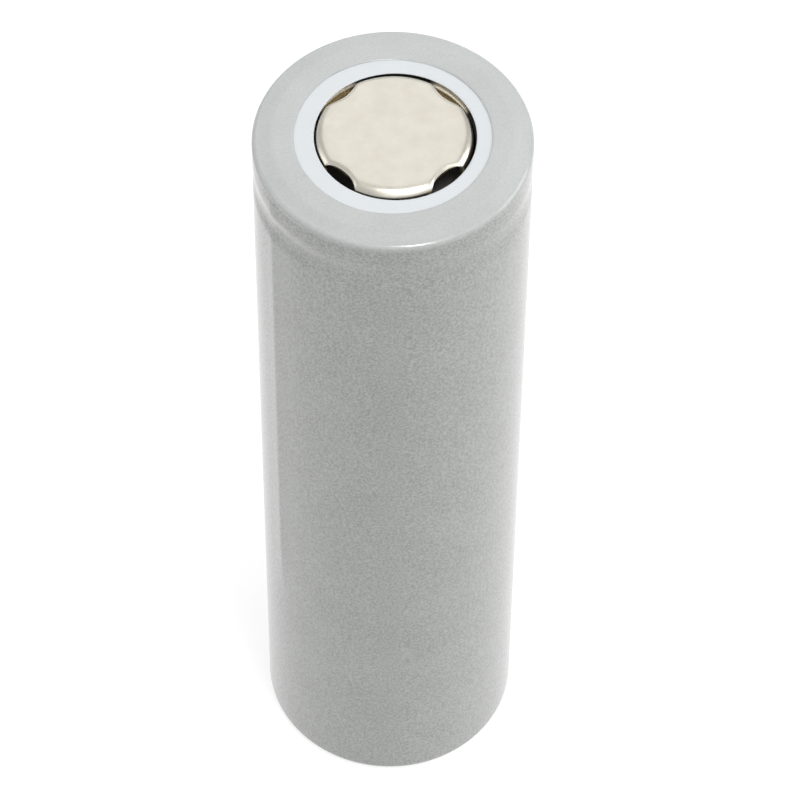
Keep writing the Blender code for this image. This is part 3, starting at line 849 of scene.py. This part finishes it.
def make_roll(materials):
    pitch = (ROLL_OUTER - ROLL_INNER) / (REAL_TURNS + 1)
    electrode = (pitch - 2 * SEPARATOR - 4 * WINDING_GAP) / 2
    whole = (0.0, 360.0 * REAL_TURNS)
    reach = ROLL_INNER
    heights = node_heights("separator_inner")
    inner = wound_sheet("separator_film_inner", reach, pitch, whole, heights, SEPARATOR)
    place(inner, "cell", "separator_inner", "separator_film", materials["separator"])
    reach += SEPARATOR + WINDING_GAP
    cathode = wound_sheet("cathode_foil", reach, pitch, whole, node_heights("cathode"), electrode)
    place(cathode, "cell", "cathode", "cathode_coating", materials["cathode"], materials["aluminium"])
    bare_foil(cathode, False, 0.5)
    reach += electrode + WINDING_GAP
    heights = node_heights("separator_outer")
    outer = wound_sheet("separator_film_outer", reach, pitch, whole, heights, SEPARATOR)
    place(outer, "cell", "separator_outer", "separator_film", materials["separator"])
    reach += SEPARATOR + WINDING_GAP
    anode = wound_sheet("anode_foil", reach, pitch, whole, node_heights("anode"), electrode)
    place(anode, "cell", "anode", "anode_coating", materials["anode"], materials["copper"])
    bare_foil(anode, True, 0.9)


def make_pin(material):
    pin = wound_sheet("slotted_pin", PIN_RADIUS - 0.30, 0.0, (100.0, 440.0), (PIN_BOTTOM, PIN_TOP), 0.30)
    soften = pin.modifiers.new("edges", "BEVEL")
    soften.width = 0.06 * MM
    soften.segments = 2
    soften.limit_method = "ANGLE"
    soften.angle_limit = math.radians(50.0)
    return place(pin, "cell", "centre_pin", "pin_steel", material)


def make_roll_tape(material):
    heights = node_heights("roll_tape")
    tape = wound_sheet("closing_tape", ROLL_OUTER + 0.02, 0.0, (22.5, 337.5), heights, 0.06)
    return place(tape, "cell", "roll_tape", "tape", material)


def bent_strip(name, line, width, thickness):
    """A flat strip bent in the XZ plane along the (x, z) points of its middle line, with softened edges."""
    line = np.array(line, float)
    along = np.gradient(line, axis=0)
    along /= np.linalg.norm(along, axis=1)[:, None]
    across = np.stack([-along[:, 1], along[:, 0]], axis=1)
    vertices = []
    for point, normal in zip(line, across):
        for side, face in ((-1, -1), (1, -1), (1, 1), (-1, 1)):
            x, z = point + normal * face * thickness / 2
            vertices.append((float(x), side * width / 2, float(z)))
    faces = [(0, 3, 2, 1)]
    for step in range(len(line) - 1):
        a, b = 4 * step, 4 * step + 4
        for k in range(4):
            n = (k + 1) % 4
            faces.append((a + k, a + n, b + n, b + k))
    last = 4 * (len(line) - 1)
    faces.append((last, last + 1, last + 2, last + 3))
    piece = finish_mesh(name, vertices, faces, 30.0)
    soften = piece.modifiers.new("edges", "BEVEL")
    soften.width = 0.12 * thickness * MM
    soften.segments = 2
    soften.limit_method = "ANGLE"
    soften.angle_limit = math.radians(60.0)
    return piece


def make_tabs(materials):
    tab = 0.10
    rise_x = 1.54 + tab / 2
    weld_z = PLATE_BOTTOM - 0.02 - tab / 2
    fold = 0.50
    bend = 0.35
    run_z = weld_z - 2 * fold
    line = dense([(rise_x, 30.0), (rise_x, run_z - bend)], 3.0)[:-1]
    line += arc((rise_x - bend, run_z - bend), bend, 0, 90, 10)
    line += arc((-2.30, run_z + fold), fold, -90, -270, 18)
    line += [(-0.5, weld_z), (1.50, weld_z)]
    positive = bent_strip("cathode_tab", line, 2.60, tab)
    place(positive, "cell", "positive_tab", "aluminium_sheet", materials["aluminium"])

    low, high = node_heights("positive_tab_tape")
    wrap = bent_strip("cathode_tab_tape", dense([(1.685, low), (1.685, high)], 1.0), 2.40, 0.05)
    place(wrap, "cell", "positive_tab_tape", "tape", materials["tape"])

    x = ROLL_OUTER + 0.02 + tab / 2
    floor_z = CAN_BOTTOM + 0.30 + 0.02 + tab / 2
    bend = 0.68
    line = [(-2.0, floor_z), (2.0, floor_z)]
    line += arc((x - bend, floor_z + bend), bend, -90, 0, 12)
    line += dense([(x, floor_z + bend), (x, 50.0)], 4.0)[1:]
    negative = bent_strip("anode_tab", line, 3.00, tab)
    place(negative, "cell", "negative_tab", "nickel", materials["nickel"])

    low, high = node_heights("negative_tab_tape")
    x += tab / 2 + 0.02 + 0.025
    wrap = bent_strip("anode_tab_tape", dense([(x, low), (x, high)], 1.0), 3.20, 0.05)
    place(wrap, "cell", "negative_tab_tape", "tape", materials["tape"])


# ---------------------------------------------------------------- camera, floor and light

CAMERA_LENS = 192.6
CAMERA_ELEVATION = 54.30
CAMERA_ROLL = -0.55
CAMERA_DISTANCE = 304.12
CAMERA_AIM = (-0.64, -1.62)


def make_camera():
    """Looks down at the cell from the -Y side, its middle a little off the picture's."""
    low, high = CAD_BOX
    middle = (low + high) / 2
    raised = math.radians(CAMERA_ELEVATION)
    roll = math.radians(CAMERA_ROLL)
    back = Vector((0.0, -math.cos(raised), math.sin(raised)))
    level_right = Vector((1.0, 0.0, 0.0))
    level_up = back.cross(level_right)
    right = level_right * math.cos(roll) - level_up * math.sin(roll)
    up = level_right * math.sin(roll) + level_up * math.cos(roll)
    data = bpy.data.cameras.new("camera")
    data.lens = CAMERA_LENS
    data.sensor_width = 36.0
    data.clip_start = 0.01
    data.clip_end = 50.0
    camera = bpy.data.objects.new("camera", data)
    bpy.context.scene.collection.objects.link(camera)
    offset = right * -CAMERA_AIM[0] + up * -CAMERA_AIM[1] + back * CAMERA_DISTANCE
    turn = Matrix((right, up, back)).transposed()
    camera.matrix_world = Matrix.Translation(middle + offset * MM) @ turn.to_4x4()
    bpy.context.scene.camera = camera


def make_floor():
    mesh = bpy.data.meshes.new("floor")
    shape = bmesh.new()
    bmesh.ops.create_circle(shape, cap_ends=True, segments=96, radius=6.0)
    shape.to_mesh(mesh)
    shape.free()
    floor = bpy.data.objects.new("floor", mesh)
    bpy.context.scene.collection.objects.link(floor)
    m = Nodes("pale_floor", roughness=0.9, colour=(0.20, 0.20, 0.20))
    m.set("Emission Color", (1.0, 1.0, 1.0, 1.0))
    m.set("Emission Strength", 0.78)
    mesh.materials.append(m.material)


def area_light(name, position, target, size, power, colour=(1.0, 1.0, 1.0)):
    """A soft box at position, in metres, facing target, size (width, height)."""
    data = bpy.data.lights.new(name, "AREA")
    data.shape = "RECTANGLE"
    data.size, data.size_y = size
    data.energy = power
    data.color = colour
    light = bpy.data.objects.new(name, data)
    bpy.context.scene.collection.objects.link(light)
    facing = (Vector(target) - Vector(position)).to_track_quat("-Z", "Y")
    light.matrix_world = Matrix.Translation(position) @ facing.to_matrix().to_4x4()
    light.visible_camera = False
    return light


def make_light():
    world = bpy.data.worlds.new("studio")
    bpy.context.scene.world = world
    world.use_nodes = True
    background = world.node_tree.nodes["Background"]
    background.inputs["Color"].default_value = (1.0, 1.0, 1.0, 1.0)
    background.inputs["Strength"].default_value = 0.57
    top = (0.0, 0.0, 0.06)
    overhead = area_light("overhead_box", (0.0, 0.0, 1.10), top, (0.34, 0.34), 3.9)
    overhead.visible_glossy = False
    area_light("key_box", (0.17, -0.30, 1.02), top, (0.17, 0.40), 5.6)
    area_light("front_box", (0.42, -0.62, 0.80), top, (1.6, 0.6), 2.1)
    area_light("back_box", (0.0, 0.95, 0.85), top, (1.4, 1.5), 3.2)
    area_light("right_box", (1.0, 0.1, 0.4), top, (0.6, 0.8), 4.7)
    area_light("left_box", (-1.0, 0.1, 0.4), top, (0.6, 0.8), 1.3)
    view = bpy.context.scene.view_settings
    view.view_transform = "Standard"
    view.look = "None"


# ---------------------------------------------------------------- the whole


def make_cell():
    materials = make_materials()
    make_sleeve(materials["film"])
    make_washer(materials["fibre"])
    make_can(materials["can"])
    make_gasket(materials["gasket"])
    make_positive_cap(materials["cap"])
    make_ptc_ring(materials["resistor"], materials["nickel"])
    make_vent_disc(materials["vent"])
    make_vent_disc_centre(materials["vent"])
    make_cid_ring(materials["insulator"])
    make_discs(materials["aluminium"], materials["insulator"])
    make_roll(materials)
    make_pin(materials["pin"])
    make_roll_tape(materials["tape"])
    make_tabs(materials)


make_camera()
make_floor()
make_light()
make_cell()
